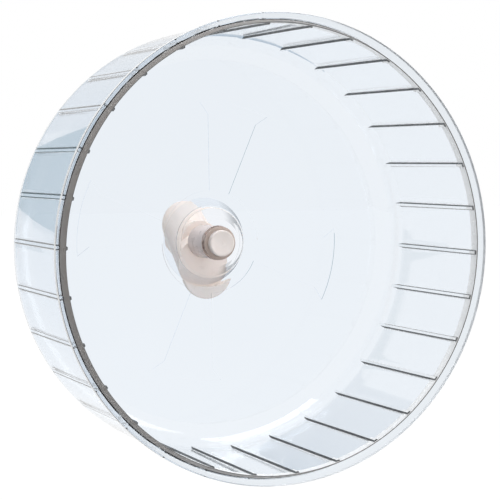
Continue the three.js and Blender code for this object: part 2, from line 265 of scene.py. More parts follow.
def arc(centre, radius, start, end, steps, depth_radius=None):
    """Points of an arc of the outline, in degrees from the radius towards the depth."""
    deep = radius if depth_radius is None else depth_radius
    found = []
    for i in range(steps + 1):
        angle = math.radians(start + (end - start) * i / steps)
        found.append((centre[0] + radius * math.cos(angle), centre[1] + deep * math.sin(angle)))
    return found


def tube(inner, outer, start, end, edge=SLEEVE_EDGE):
    """Outline of a sleeve or washer with small chamfers on its four edges."""
    return [
        (inner, start + edge), (inner + edge, start), (outer - edge, start), (outer, start + edge),
        (outer, end - edge), (outer - edge, end), (inner + edge, end), (inner, end - edge),
    ]


def along_axle(depth, rise=0.0):
    """A placing that stands a round shape on the axle's line, or above it, at a depth."""
    spot = Matrix.Translation((0, RIM_PLANE + depth * MM, rise * MM))
    return spot @ Matrix.Rotation(math.pi / 2, 4, "X")


def round_bar(radius, start, end, rise=0.0, steps=FINE_STEPS):
    """A plain round bar along the axle, used to build up or bore out a body."""
    bm = new_mesh()
    bmesh.ops.create_cone(
        bm, cap_ends=True, segments=steps, radius1=radius * MM, radius2=radius * MM,
        depth=(end - start) * MM, matrix=along_axle((start + end) / 2, rise),
    )
    return bm


def link_new(bm, name):
    """Makes an object of a bmesh and adds it to the scene."""
    mesh = bpy.data.meshes.new(name)
    bm.to_mesh(mesh)
    bm.free()
    thing = bpy.data.objects.new(name, mesh)
    bpy.context.scene.collection.objects.link(thing)
    return thing


def carved(base, joined=(), cut=()):
    """Joins and cuts closed bodies and returns the result as one body."""
    body = link_new(base, "blank")
    helpers = []
    for bodies, operation in ((joined, "UNION"), (cut, "DIFFERENCE")):
        for other in bodies:
            helper = link_new(other, "helper")
            helpers.append(helper)
            step = body.modifiers.new("shape", "BOOLEAN")
            step.object = helper
            step.operation = operation
            step.solver = "EXACT"
    finished = body.evaluated_get(bpy.context.evaluated_depsgraph_get())
    result = new_mesh()
    result.from_mesh(finished.to_mesh())
    finished.to_mesh_clear()
    for thing in [body, *helpers]:
        mesh = thing.data
        bpy.data.objects.remove(thing)
        bpy.data.meshes.remove(mesh)
    merge(result, 0.004)
    return result


def soften(bm, width, angle=40):
    """Rounds the edges between faces that meet at more than the angle."""
    edges = [
        e for e in bm.edges
        if len(e.link_faces) == 2 and e.calc_face_angle(0) > math.radians(angle)
    ]
    bmesh.ops.bevel(
        bm, geom=edges, offset=width * MM, segments=2, profile=0.5, affect="EDGES",
        clamp_overlap=True, material=-1,
    )
    merge(bm, 0.001)


def finish_piece(bm, name, materials, body, nodes):
    """Makes the object and lets it ride in place of its CAD nodes.

    Its rounded edges are shaded smooth, and its flat faces stay flat beside them.
    """
    for edge in bm.edges:
        flush = edge.calc_face_angle(0) < math.radians(SHARP_ANGLE)
        edge.smooth = len(edge.link_faces) == 2 and flush
    for face in bm.faces:
        face.smooth = True
    loose = sum(1 for e in bm.edges if len(e.link_faces) != 2)
    if loose:
        print(name, "has", loose, "edges without two faces")
    piece = link_new(bm, name)
    for material in materials:
        piece.data.materials.append(material)
    even = piece.modifiers.new("even_shading", "WEIGHTED_NORMAL")
    even.keep_sharp = True
    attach(piece, body)
    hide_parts(*nodes)
    return piece


# Materials

NOISE_REACH = (0.3, 0.7)
EDGE_SLANT = (0.7, 0.95)
MIX_FIRST, MIX_SECOND, MIX_RESULT = 6, 7, 2


def node_material(name):
    """A material with its shader, and a function that adds nodes to it."""
    material = bpy.data.materials.new(name)
    material.use_nodes = True
    tree = material.node_tree
    shader = tree.nodes["Principled BSDF"]

    def add(kind, **settings):
        node = tree.nodes.new(kind)
        for key, value in settings.items():
            if key in node.inputs:
                node.inputs[key].default_value = value
            else:
                setattr(node, key, value)
        return node

    return material, tree, shader, add


def noise(tree, add, place, scale, detail=2.0):
    """A soft noise, as a value that mostly lies in NOISE_REACH."""
    cloud = add("ShaderNodeTexNoise", Scale=scale, Detail=detail)
    tree.links.new(place, cloud.inputs["Vector"])
    return cloud.outputs["Fac"]


def stretched(tree, add, value, reach, low, high):
    """A value that runs from low to high while the given one runs through its reach."""
    spread = add("ShaderNodeMapRange")
    spread.inputs["From Min"].default_value, spread.inputs["From Max"].default_value = reach
    spread.inputs["To Min"].default_value = low
    spread.inputs["To Max"].default_value = high
    tree.links.new(value, spread.inputs["Value"])
    return spread.outputs["Result"]


def blend(tree, add, share, first, second):
    """A colour from the first to the second; the first may come out of another node."""
    mix = add("ShaderNodeMix", data_type="RGBA")
    if isinstance(first, bpy.types.NodeSocket):
        tree.links.new(first, mix.inputs[MIX_FIRST])
    else:
        mix.inputs[MIX_FIRST].default_value = (*first, 1)
    mix.inputs[MIX_SECOND].default_value = (*second, 1)
    tree.links.new(share, mix.inputs["Factor"])
    return mix.outputs[MIX_RESULT]


def shade(tint, share):
    """The tint made darker or paler, up to white."""
    return [min(1, c * share) for c in tint]


def vary_gloss(tree, add, shader, value, roughness, low, high):
    """Lets the roughness drift between two shares of itself."""
    gloss = stretched(tree, add, value, NOISE_REACH, roughness * low, roughness * high)
    tree.links.new(gloss, shader.inputs["Roughness"])


def add_relief(tree, add, shader, height, strength, distance):
    """Lets a value stand out of the surface a little."""
    bump = add("ShaderNodeBump", Strength=strength, Distance=distance)
    tree.links.new(height, bump.inputs["Height"])
    tree.links.new(bump.outputs["Normal"], shader.inputs["Normal"])


def clear_plastic(name, tint, roughness=0.02, ripple=0.03, bending=1.49, painted_edge_shade=None):
    """Clear moulded plastic: a faint tint that drifts a little, and the slow ripple of moulding.

    With a painted edge shade its colour darkens where it is looked at along its face: painted
    shade in place of the dark edge that thick plastic shows by bending light.
    """
    material, tree, shader, add = node_material(name)
    place = add("ShaderNodeTexCoord").outputs["Object"]
    colour = blend(tree, add, noise(tree, add, place, 18), tint, shade(tint, 1.02))
    if painted_edge_shade:
        facing = add("ShaderNodeLayerWeight", Blend=0.5).outputs["Facing"]
        slant = stretched(tree, add, facing, EDGE_SLANT, 0, 1)
        colour = blend(tree, add, slant, colour, painted_edge_shade)
    tree.links.new(colour, shader.inputs["Base Color"])
    vary_gloss(tree, add, shader, noise(tree, add, place, 60), roughness, 0.6, 1.4)
    add_relief(tree, add, shader, noise(tree, add, place, 25), ripple, 0.001)
    shader.inputs["Transmission Weight"].default_value = 1
    shader.inputs["IOR"].default_value = bending
    return material


def painted_light_shade_plastic(name, tint, clearness, roughness=0.3):
    """The same plastic at its thin edges, with their light or shade painted in as a soft, even
    band of colour.
    """
    material, tree, shader, add = node_material(name)
    place = add("ShaderNodeTexCoord").outputs["Object"]
    drift = noise(tree, add, place, 40)
    colour = blend(tree, add, drift, shade(tint, 0.93), shade(tint, 1.07))
    tree.links.new(colour, shader.inputs["Base Color"])
    vary_gloss(tree, add, shader, noise(tree, add, place, 200), roughness, 0.8, 1.2)
    shader.inputs["Transmission Weight"].default_value = clearness
    shader.inputs["IOR"].default_value = 1.3
    return material


def beige_plastic(name, tint, roughness=0.32):
    """Opaque moulded plastic: soft flow marks, a fine grain, and a slight glow under the skin."""
    material, tree, shader, add = node_material(name)
    place = add("ShaderNodeTexCoord").outputs["Object"]
    flow = noise(tree, add, place, 90, detail=4)
    colour = blend(tree, add, flow, shade(tint, 0.94), shade(tint, 1.05))
    tree.links.new(colour, shader.inputs["Base Color"])
    vary_gloss(tree, add, shader, noise(tree, add, place, 400), roughness, 0.8, 1.25)
    add_relief(tree, add, shader, noise(tree, add, place, 2500), 0.05, 0.0002)
    shader.inputs["Subsurface Weight"].default_value = 0.08
    shader.inputs["Subsurface Radius"].default_value = (0.0012, 0.0008, 0.0006)
    shader.inputs["IOR"].default_value = 1.52
    return material


def machined_metal(name, tint, roughness, stretch=(1, 1, 1), mottle=0.08):
    """Bare or plated metal: turning marks or plating grain, and a colour that varies with it."""
    material, tree, shader, add = node_material(name)
    place = add("ShaderNodeTexCoord").outputs["Object"]
    turn = add("ShaderNodeMapping")
    turn.inputs["Scale"].default_value = stretch
    tree.links.new(place, turn.inputs["Vector"])
    grain = noise(tree, add, turn.outputs["Vector"], 3000, detail=3)
    vary_gloss(tree, add, shader, grain, roughness, 0.7, 1.3)
    cloud = noise(tree, add, place, 500, detail=3)
    colour = blend(tree, add, cloud, shade(tint, 1 - mottle), shade(tint, 1 + mottle))
    tree.links.new(colour, shader.inputs["Base Color"])
    add_relief(tree, add, shader, grain, 0.06, 0.0001)
    shader.inputs["Metallic"].default_value = 1
    return material


CLEAR_BODY = clear_plastic("clear_drum_plastic", (0.827, 0.870, 0.918))
PALE_RIM = clear_plastic(
    "pale_rim_plastic", (0.80, 0.84, 0.88), roughness=0.06, ripple=0.01, bending=1.15,
)
# Painted shade: a dark band on the channel's inner flank, in place of the shade that clear plastic
# shows there.
LIP_PAINTED_SHADE = painted_light_shade_plastic("lip_painted_shade_plastic", (0.25, 0.23, 0.215), 0.1)
# Painted shade: the dark crests of the ribs' sides and the rib fronts, in place of the shade that
# clear ribs show.
RIB_PAINTED_SHADE = painted_light_shade_plastic("rib_flank_painted_shade", (0.13, 0.135, 0.14), 0.1)
# Painted light: a pale band on the rib feet, the inside of the lip and the rim's outer edge, in
# place of their highlights.
EDGE_PAINTED_LIGHT = painted_light_shade_plastic("edge_painted_light_plastic", (0.93, 0.94, 0.95), 0.1)
CLEAR_DISC = clear_plastic("clear_disc_plastic", (0.82, 0.865, 0.915), bending=1.15)
# Painted shade: the bell and its skirt darken at their edges where they are seen edge-on.
CLEAR_HUB = clear_plastic(
    "clear_hub_plastic", (0.87, 0.895, 0.93), ripple=0.005, bending=1.01,
    painted_edge_shade=(0.08, 0.10, 0.12),
)
CLEAR_SKIRT = clear_plastic(
    "clear_skirt_plastic", (0.97, 0.975, 0.98), ripple=0.005, bending=1.01,
    painted_edge_shade=(0.05, 0.06, 0.07),
)
# Painted shade: the dark brown of the shaded beige axle, painted onto the clear barrel's front
# end.
BARREL_END_PAINTED_SHADE = painted_light_shade_plastic("barrel_end_painted_shade", (0.43, 0.35, 0.31), 0.05)
# Painted shade: the shaded beige of the axle, painted onto the clear barrel's side.
BARREL_SIDE_PAINTED_SHADE = painted_light_shade_plastic("barrel_side_painted_shade", (0.74, 0.63, 0.58), 0.1)
DRUM_FINISHES = [
    CLEAR_BODY, PALE_RIM, LIP_PAINTED_SHADE, RIB_PAINTED_SHADE, EDGE_PAINTED_LIGHT, CLEAR_DISC, CLEAR_HUB,
    BARREL_END_PAINTED_SHADE, BARREL_SIDE_PAINTED_SHADE, CLEAR_SKIRT,
]
BEIGE = beige_plastic("beige_moulded_plastic", (0.93, 0.80, 0.71))
CAP_BEIGE = beige_plastic("beige_cap_plastic", (0.69, 0.63, 0.60), 0.22)
STEEL = machined_metal("ground_bearing_steel", (0.62, 0.63, 0.65), 0.18, stretch=(1, 8, 1))
ZINC = machined_metal("zinc_plate", (0.55, 0.57, 0.60), 0.34, mottle=0.14)
BRASS = machined_metal("pressed_brass", (0.66, 0.47, 0.20), 0.30)


# Drum

BELL_SLOPE = (BELL_RADIUS - SHOULDER_RADIUS) / (BELL_EDGE - SHOULDER_FRONT)
WALL_INNER = DRUM_RADIUS - DRUM_WALL
LIP_INNER = WALL_INNER - LIP_INSET
LIP_CREST = LIP_INNER + LIP_ROUND
CHANNEL_VALLEY = DRUM_RADIUS - CHANNEL_FLOOR
RIB_CREST = WALL_INNER - RIB_HEIGHT
RIB_HALF_ANGLE = math.degrees(RIB_WIDTH / 2 / WALL_INNER)
RIB_PITCH = 360 / RIB_COUNT
CORNER_CENTRE = (DRUM_RADIUS - DRUM_DRAFT - CORNER_RADIUS, DISC_BACK - CORNER_RADIUS)
INNER_CORNER = CORNER_RADIUS - DRUM_WALL
RIB_END_ANGLE = math.degrees(math.acos((RIB_CREST - CORNER_CENTRE[0]) / INNER_CORNER))


def bell_radius_at(depth):
    """Outer radius of the bell at a depth."""
    return SHOULDER_RADIUS + BELL_SLOPE * (depth - SHOULDER_FRONT)


def hub_outline():
    """The bell and the barrel, from the back of the disc round to its front."""
    thick = BELL_WALL * math.hypot(1, BELL_SLOPE)
    back = bell_radius_at(DISC_BACK)
    front = bell_radius_at(DRUM_DEPTH)
    skirt = bell_radius_at(BELL_EDGE) - thick
    return [
        (back + 0.2, DISC_BACK),
        (back + 0.06, DISC_BACK + 0.12),
        (BELL_RADIUS - 0.1, BELL_EDGE - 0.2),
        (BELL_RADIUS - 0.2, BELL_EDGE),
        (skirt + HUB_EDGE, BELL_EDGE),
        (skirt, BELL_EDGE - HUB_EDGE),
        (bell_radius_at(BELL_ROOF) - thick, BELL_ROOF),
        (BARREL_RADIUS + 0.2, BELL_ROOF),
        (BARREL_RADIUS, BELL_ROOF + 0.2),
        (BARREL_RADIUS, BARREL_END - HUB_EDGE),
        (BARREL_RADIUS - HUB_EDGE, BARREL_END),
        (AXLE_RADIUS + FIT_GAP, BARREL_END),
        (AXLE_RADIUS + FIT_GAP, BARREL_FRONT),
        *arc((BARREL_RADIUS - HUB_EDGE, BARREL_FRONT + HUB_EDGE), HUB_EDGE, 270, 360, 2),
        (BARREL_RADIUS, SHOULDER_FRONT - 0.1),
        (BARREL_RADIUS + 0.1, SHOULDER_FRONT),
        *arc((SHOULDER_RADIUS - RIM_ROUND, SHOULDER_FRONT + RIM_ROUND), RIM_ROUND, 270, 345, 3),
        (front - 0.15, DRUM_DEPTH - 0.3),
        (front + 0.05, DRUM_DEPTH - 0.08),
        (front + 0.35, DRUM_DEPTH),
    ]


def drum_outline():
    """The wall cut through once: round the rim, down the outside, in to the hub, and out again."""
    return [
        (LIP_INNER, RIB_SETBACK),
        *arc((LIP_CREST, LIP_ROUND), LIP_ROUND, 180, 270, 3),
        (LIP_CREST + LIP_WIDTH, 0),
        (CHANNEL_VALLEY - CHANNEL_INNER_STEP, CHANNEL_DEPTH - CHANNEL_SLOPE),
        (CHANNEL_VALLEY, CHANNEL_DEPTH),
        (CHANNEL_VALLEY + CHANNEL_OUTER_STEP, CHANNEL_DEPTH - CHANNEL_SLOPE),
        *arc((RIM_RADIUS - RIM_ROUND, RIM_ROUND), RIM_ROUND, 225, 360, 5),
        (RIM_RADIUS, RIM_EDGE - 0.1),
        (RIM_RADIUS - 0.05, RIM_EDGE + 0.1),
        (DRUM_RADIUS + RIM_ROUND, FLANGE_DEPTH - RIM_ROUND),
        (DRUM_RADIUS + 0.06, FLANGE_DEPTH - 0.06),
        (DRUM_RADIUS, FLANGE_DEPTH + 0.2),
        *arc(CORNER_CENTRE, CORNER_RADIUS, 0, 90, 16),
        *((radius, DISC_BACK) for radius in
          (SPOKE_FLARE_REACH, SPOKE_REACH, DISC_RING, STAR_HUB_RADIUS)),
        *hub_outline(),
        *arc(CORNER_CENTRE, INNER_CORNER, 90, RIB_END_ANGLE, 12),
        *arc(CORNER_CENTRE, INNER_CORNER, RIB_END_ANGLE, 0, 5)[1:],
        (WALL_INNER, FLANGE_DEPTH),
        (LIP_INNER, FLANGE_DEPTH - LIP_INSET),
    ]


def polar(point):
    """(radius, degrees round the axle, depth) of a point, in millimetres."""
    return (
        math.hypot(point.x, point.z) / MM,
        math.degrees(math.atan2(point.z, point.x)),
        (point.y - RIM_PLANE) / MM,
    )


def degrees_between(a, b):
    """How far two directions lie apart, in degrees."""
    return abs((a - b + 180) % 360 - 180)


def raise_faces(bm, faces):
    """Extrudes faces together with their edges; returns the new corners and faces."""
    edges = {edge for face in faces for edge in face.edges}
    raised = bmesh.ops.extrude_face_region(bm, geom=list(faces) + list(edges))["geom"]
    corners = [part for part in raised if isinstance(part, bmesh.types.BMVert)]
    return corners, [part for part in raised if isinstance(part, bmesh.types.BMFace)]


def on_running_side(radius, depth):
    """True on the inside of the wall and of its rounded corner, out to the crests of the ribs."""
    if depth > CORNER_CENTRE[1]:
        reach = math.hypot(radius - CORNER_CENTRE[0], depth - CORNER_CENTRE[1])
        return reach < INNER_CORNER + NEAR and radius > RIB_CREST - TOUCH
    return RIB_CREST - TOUCH < radius < WALL_INNER + NEAR


def add_rib(bm):
    """Raises one drafted rib out of the narrow strip of wall at angle 0, as a foot and a crest."""
    picked = []
    for face in bm.faces:
        corners = [polar(v.co) for v in face.verts]
        inside = all(on_running_side(radius, depth) for radius, _, depth in corners)
        behind_lip = min(c[2] for c in corners) > RIB_SETBACK - TOUCH
        in_strip = abs(polar(face.calc_center_median())[1]) < RIB_HALF_ANGLE
        if in_strip and inside and behind_lip:
            picked.append(face)
    # Foot and crest are raised apart so that the foot can take painted light and the crest painted
    # shade.
    for share in (RIB_FOOT_SHARE, 1):
        reach = WALL_INNER - share * RIB_HEIGHT
        half = (RIB_WIDTH + share * (RIB_CREST_WIDTH - RIB_WIDTH)) / 2
        corners, picked = raise_faces(bm, picked)
        for vertex in corners:
            vertex.co.x = min(reach * MM, vertex.co.x)
            vertex.co.z = math.copysign(min(half * MM, abs(vertex.co.z)), vertex.co.z)


def point_ribs(bm):
    """Widens the strip between two ribs towards the corner, so that each rib ends in a point."""
    edges = ((-RIB_HALF_ANGLE, 0), (RIB_HALF_ANGLE, 0), (RIB_PITCH - RIB_HALF_ANGLE, RIB_PITCH))
    for vertex in bm.verts:
        radius, angle, depth = polar(vertex.co)
        if depth < CORNER_CENTRE[1] + TOUCH or not on_running_side(radius, depth):
            continue
        share = (WALL_INNER - radius) / RIB_HEIGHT
        half = RIB_HALF_ANGLE * (1 - share * (1 - RIB_TIP_WIDTH / RIB_WIDTH))
        for edge, middle in edges:
            if abs(angle - edge) < TOUCH:
                turned_to = math.radians(middle + math.copysign(half, edge - middle))
                vertex.co.x = radius * math.cos(turned_to) * MM
                vertex.co.z = radius * math.sin(turned_to) * MM


def back_faces(bm, low, high, middle=None):
    """Faces on the back of the disc between two radii, and near a direction if one is given."""
    found = []
    for face in bm.faces:
        radius, angle, depth = polar(face.calc_center_median())
        if abs(depth - DISC_BACK) < TOUCH and low < radius < high:
            if middle is None or degrees_between(angle, middle) < SPOKE_EDGE_SEARCH:
                found.append(face)
    return found


def cut_straight(bm, faces, first, second):
    """Cuts faces of the disc along the line between two (radius, degrees) points."""
    edges = {e for f in faces for e in f.edges}
    corners = {v for f in faces for v in f.verts}
    start, end = (
        Vector((r * math.cos(math.radians(a)), 0, r * math.sin(math.radians(a)))) * MM
        for r, a in (first, second)
    )
    bmesh.ops.bisect_plane(
        bm, geom=list(faces) + list(edges) + list(corners), dist=1e-7, plane_co=start,
        plane_no=(end - start).cross(AXLE_LINE),
    )


def cut_star(bm):
    """Cuts the outline of the star into the back of the disc and raises it a little."""
    pitch = 360 / SPOKE_COUNT
    middles = [SPOKE_PHASE + i * pitch for i in range(SPOKE_COUNT)]
    for middle in middles:
        for side in (-1, 1):
            edge = middle + side * SPOKE_HALF_ANGLE
            flare = middle + side * SPOKE_FLARE_ANGLE
            near = back_faces(bm, STAR_HUB_RADIUS, SPOKE_REACH, edge)
            cut_straight(bm, near, (STAR_HUB_RADIUS, edge), (SPOKE_REACH, edge))
            near = back_faces(bm, SPOKE_REACH, SPOKE_FLARE_REACH, (edge + flare) / 2)
            cut_straight(bm, near, (SPOKE_REACH, edge), (SPOKE_FLARE_REACH, flare))

    def in_star(radius, angle):
        if radius < STAR_HUB_RADIUS:
            return True
        share = max(0, (radius - SPOKE_REACH) / (SPOKE_FLARE_REACH - SPOKE_REACH))
        half = SPOKE_HALF_ANGLE + share * (SPOKE_FLARE_ANGLE - SPOKE_HALF_ANGLE)
        return min(degrees_between(angle, m) for m in middles) < half

    star = []
    for face in back_faces(bm, bell_radius_at(DISC_BACK), SPOKE_FLARE_REACH):
        radius, angle, _ = polar(face.calc_center_median())
        if in_star(radius, angle):
            star.append(face)
    bmesh.ops.translate(bm, verts=raise_faces(bm, star)[0], vec=(0, STAR_HEIGHT * MM, 0))


def finish_of(face):
    """The finish of one face of the drum, from where it lies and which way it looks."""
    radius, angle, depth = polar(face.calc_center_median())
    outward = Vector((math.cos(math.radians(angle)), 0, math.sin(math.radians(angle))))
    sideways = abs(face.normal.dot(outward.cross(AXLE_LINE)))
    if on_running_side(radius, depth) and radius < WALL_INNER - HAIR:
        rib_front = depth < RIB_SETBACK + TOUCH and face.normal.y < -0.9
        # Rib sides: painted light on the foot, painted shade on the crest and on the rib fronts.
        if rib_front or sideways > 0.7:
            on_foot = radius >= WALL_INNER - RIB_FOOT_SHARE * RIB_HEIGHT
            return EDGE_PAINTED_LIGHT if on_foot and not rib_front else RIB_PAINTED_SHADE
    beside_axle = radius > AXLE_RADIUS + 0.2
    # The barrel's side gets the painted shade of the axle behind it.
    if depth > BELL_ROOF - 0.3 and beside_axle and radius < BARREL_RADIUS + 0.25:
        return BARREL_SIDE_PAINTED_SHADE
    # The barrel's front end gets the painted shade of the axle behind it.
    if depth < SHOULDER_FRONT - 0.1 and beside_axle and radius < BARREL_RADIUS + HAIR:
        return BARREL_END_PAINTED_SHADE
    if radius < bell_radius_at(min(depth, BELL_EDGE)) + HAIR:
        return CLEAR_SKIRT if DISC_BACK < depth < BELL_EDGE - 0.22 else CLEAR_HUB
    if depth > DRUM_DEPTH - HAIR and radius < SPOKE_FLARE_REACH + 10:
        return CLEAR_DISC
    if depth < FLANGE_DEPTH:
        lip_inside = depth > LIP_ROUND and radius < LIP_CREST and face.normal.dot(outward) < -0.5
        # Painted light along the inside of the lip and the rim's outer edge.
        if lip_inside or radius > RIM_RADIUS - 0.12:
            return EDGE_PAINTED_LIGHT
        if radius > DRUM_RADIUS + 0.2:
            return PALE_RIM
    # Painted shade on the channel's inner flank.
    if depth < CHANNEL_DEPTH and face.normal.y < -0.05 and radius > LIP_INNER:
        return LIP_PAINTED_SHADE if radius < CHANNEL_VALLEY else PALE_RIM
    return CLEAR_BODY


def make_drum():
    """One bay with its rib, repeated round the axle, with the star raised on the back."""
    bm = new_mesh()
    outline = section(bm, drum_outline())
    corners = [v for v in outline if isinstance(v, bmesh.types.BMVert)]
    bmesh.ops.rotate(
        bm, verts=corners, cent=(0, 0, 0),
        matrix=Matrix.Rotation(math.radians(RIB_HALF_ANGLE), 3, "Y"),
    )
    last = sweep(bm, outline, -2 * RIB_HALF_ANGLE, 1)
    sweep(bm, last, -(RIB_PITCH - 2 * RIB_HALF_ANGLE), STEPS_BETWEEN_RIBS)
    point_ribs(bm)
    add_rib(bm)
    bmesh.ops.rotate(
        bm, verts=bm.verts, cent=(0, 0, 0),
        matrix=Matrix.Rotation(-math.radians(RIB_PHASE), 3, "Y"),
    )
    bmesh.ops.spin(
        bm, geom=bm.verts[:] + bm.edges[:] + bm.faces[:], cent=(0, 0, 0), axis=AXLE_LINE,
        angle=-math.radians(RIB_PITCH * (RIB_COUNT - 1)), steps=RIB_COUNT - 1,
        use_duplicate=True,
    )
    merge(bm)
    cut_star(bm)
    bmesh.ops.recalc_face_normals(bm, faces=bm.faces)
    for face in bm.faces:
        face.material_index = DRUM_FINISHES.index(finish_of(face))
    drum = finish_piece(
        bm, "clear_drum", DRUM_FINISHES, "wheel", ["wheel_drum"],
    )
    drum.visible_shadow = False


def make_axle():
    """The axle pin, with its dished cap and the hole for the retaining screw."""
    cap_front = BARREL_FRONT - SEAT_GAP - CAP_HEIGHT
    cap_back = cap_front + CAP_HEIGHT
    end = REAR_BEARING_END - AXLE_END_GAP
    bore = SCREW_RADIUS + SCREW_HOLE_GAP
    cap_edge = CAP_RADIUS - CAP_ROUND
    points = [
        *((cap_edge * r, cap_front + CAP_DISH * drop) for r, drop in CAP_DISH_SHARES),
        *arc((cap_edge, cap_front + CAP_ROUND), CAP_ROUND, 270, 360, 5),
        (CAP_RADIUS, cap_back - HUB_EDGE),
        (CAP_RADIUS - HUB_EDGE, cap_back),
        (AXLE_RADIUS, cap_back),
        (AXLE_RADIUS, end - AXLE_END_EDGE),
        (AXLE_RADIUS - AXLE_END_EDGE, end),
        (bore, end),
        (bore, end - AXLE_HOLE_DEPTH),
        (0, end - AXLE_HOLE_DEPTH),
    ]
    pin = turned(points, closed=False)
    finish_piece(pin, "axle_pin", [CAP_BEIGE], "wheel", ["axle"])


def make_sleeves():
    """The spacers that hold the hub and the bearings apart, and the washer behind them."""
    bore = AXLE_RADIUS + FIT_GAP
    front_start = FRONT_BEARING - BEARING_WIDTH / 2 - SEAT_GAP
    front_end = FRONT_BEARING + BEARING_WIDTH / 2 + SEAT_GAP
    plastic = ("beige_plastic", BEIGE)
    plated = ("zinc_plated_steel", ZINC)
    rows = (
        ("hub_sleeve", "hub_spacer", "wheel", plastic,
         (bore, HUB_SPACER_RADIUS, BARREL_END + SEAT_GAP, front_start)),
        ("inner_sleeve", "inner_spacer", "wheel", plated,
         (bore, INNER_SPACER_RADIUS, front_end, front_end + BEARING_GAP)),
        ("outer_sleeve", "outer_spacer", "bracket", plated,
         (BEARING_RADIUS - OUTER_SPACER_WALL, BEARING_RADIUS, front_end, front_end + BEARING_GAP)),
        ("thrust_washer", "retaining_washer", "wheel", plated,
         (SCREW_RADIUS + SCREW_HOLE_GAP, WASHER_RADIUS, WASHER_FRONT,
          WASHER_FRONT + WASHER_THICKNESS)),
    )
    for name, node, body, (slot, finish), sizes in rows:
        finish_piece(turned(tube(*sizes), SLEEVE_STEPS), name, [finish], body, [node])


# Bearings

def outer_race_outline(middle):
    """The outer ring, with its ball groove and the rebates for the shields."""
    half = BEARING_WIDTH / 2
    opening = math.degrees(math.acos(abs(OUTER_LAND - PITCH_RADIUS) / GROOVE_RADIUS))
    rebate = OUTER_LAND + SHIELD_SEAT
    step = half - SHIELD_SETBACK - SHIELD_THICKNESS - SHIELD_GAP
    edge = OUTER_RACE_EDGE
    return [
        *arc((BEARING_RADIUS - edge, middle + half - edge), edge, 0, 90, 3),
        (rebate, middle + half), (rebate, middle + step), (OUTER_LAND, middle + step),
        *arc((PITCH_RADIUS, middle), GROOVE_RADIUS, opening, -opening, 10),
        (OUTER_LAND, middle - step), (rebate, middle - step), (rebate, middle - half),
        *arc((BEARING_RADIUS - edge, middle - half + edge), edge, 270, 360, 3),
    ]


def inner_race_outline(middle):
    """The inner ring, with its ball groove."""
    half = BEARING_WIDTH / 2
    opening = math.degrees(math.acos(abs(INNER_LAND - PITCH_RADIUS) / GROOVE_RADIUS))
    edge = INNER_RACE_EDGE
    return [
        *arc((BEARING_BORE + edge, middle + half - edge), edge, 90, 180, 3),
        *arc((BEARING_BORE + edge, middle - half + edge), edge, 180, 270, 3),
        (INNER_LAND, middle - half),
        *arc((PITCH_RADIUS, middle), GROOVE_RADIUS, 180 + opening, 180 - opening, 10),
        (INNER_LAND, middle + half),
    ]


def make_race(name, node, body, outline):
    """One ring of a bearing, ground all over."""
    finish_piece(turned(outline), name, [STEEL], body, [node])


def make_shield(name, node, middle, side):
    """A pressed shield: a thin ring with a shallow step and rounded edges."""
    outer_face = BEARING_WIDTH / 2 - SHIELD_SETBACK
    inner_face = outer_face - SHIELD_THICKNESS
    bore = INNER_LAND + SHIELD_GAP + FIT_GAP / 2
    rim = OUTER_LAND + SHIELD_SEAT - SHIELD_GAP
    fold = bore + (rim - bore) * SHIELD_FOLD_SHARE
    step = SHIELD_THICKNESS * SHIELD_STEP_SHARE
    outline = [
        (bore, inner_face), (fold, inner_face), (fold + step, inner_face + SHIELD_DISH),
        (rim, inner_face + SHIELD_DISH), (rim, outer_face), (fold + step, outer_face),
        (fold, outer_face - step), (bore + step, outer_face - step),
        (bore, outer_face - step - 0.05),
    ]
    ring = turned([(r, middle + side * depth) for r, depth in outline], SLEEVE_STEPS)
    finish_piece(ring, name, [ZINC], "bracket", [node])


def make_cage(name, node, body, middle):
    """The ball cage: a band with a round pocket for each ball."""
    outline = tube(
        PITCH_RADIUS - CAGE_WALL / 2, PITCH_RADIUS + CAGE_WALL / 2,
        middle - CAGE_WIDTH / 2, middle + CAGE_WIDTH / 2, CAGE_EDGE,
    )
    pockets = new_mesh()
    for i in range(BALL_COUNT):
        place = (
            Matrix.Translation((0, RIM_PLANE + middle * MM, 0))
            @ Matrix.Rotation(2 * math.pi * i / BALL_COUNT, 4, "Y")
            @ Matrix.Translation((PITCH_RADIUS * MM, 0, 0))
            @ Matrix.Rotation(math.pi / 2, 4, "Y")
        )
        bmesh.ops.create_cone(
            pockets, cap_ends=True, segments=24, radius1=GROOVE_RADIUS * MM,
            radius2=GROOVE_RADIUS * MM, depth=2 * CAGE_WALL * MM, matrix=place,
        )
    band = carved(turned(outline, 10 * BALL_COUNT), cut=[pockets])
    finish_piece(band, name, [BRASS], body, [node])


def make_ball(name, node, body, middle, index):
    """One ball, in its place round the bearing."""
    bm = new_mesh()
    bmesh.ops.create_icosphere(bm, subdivisions=3, radius=BALL_RADIUS * MM)
    turn = Matrix.Rotation(2 * math.pi * index / BALL_COUNT, 3, "Y")
    place = turn @ Vector((PITCH_RADIUS * MM, 0, 0)) + Vector((0, RIM_PLANE + middle * MM, 0))
    bmesh.ops.translate(bm, verts=bm.verts, vec=place)
    finish_piece(bm, name, [STEEL], body, [node])


def make_bearing(place, middle):
    """A whole bearing: two races, two shields, the cage and its balls."""
    node = place + "_bearing_"
    balls = place + "_ball_set"
    make_race(place + "_outer_ring", node + "outer_race", "bracket", outer_race_outline(middle))
    make_race(place + "_inner_ring", node + "inner_race", "wheel", inner_race_outline(middle))
    make_shield(place + "_front_shield", node + "shield_front", middle, -1)
    make_shield(place + "_back_shield", node + "shield_back", middle, 1)
    make_cage(place + "_cage_band", node + "cage", balls, middle)
    for i in range(BALL_COUNT):
        make_ball(f"{place}_steel_ball_{i + 1}", f"{node}ball_{i + 1}", balls, middle, i)


# Screws

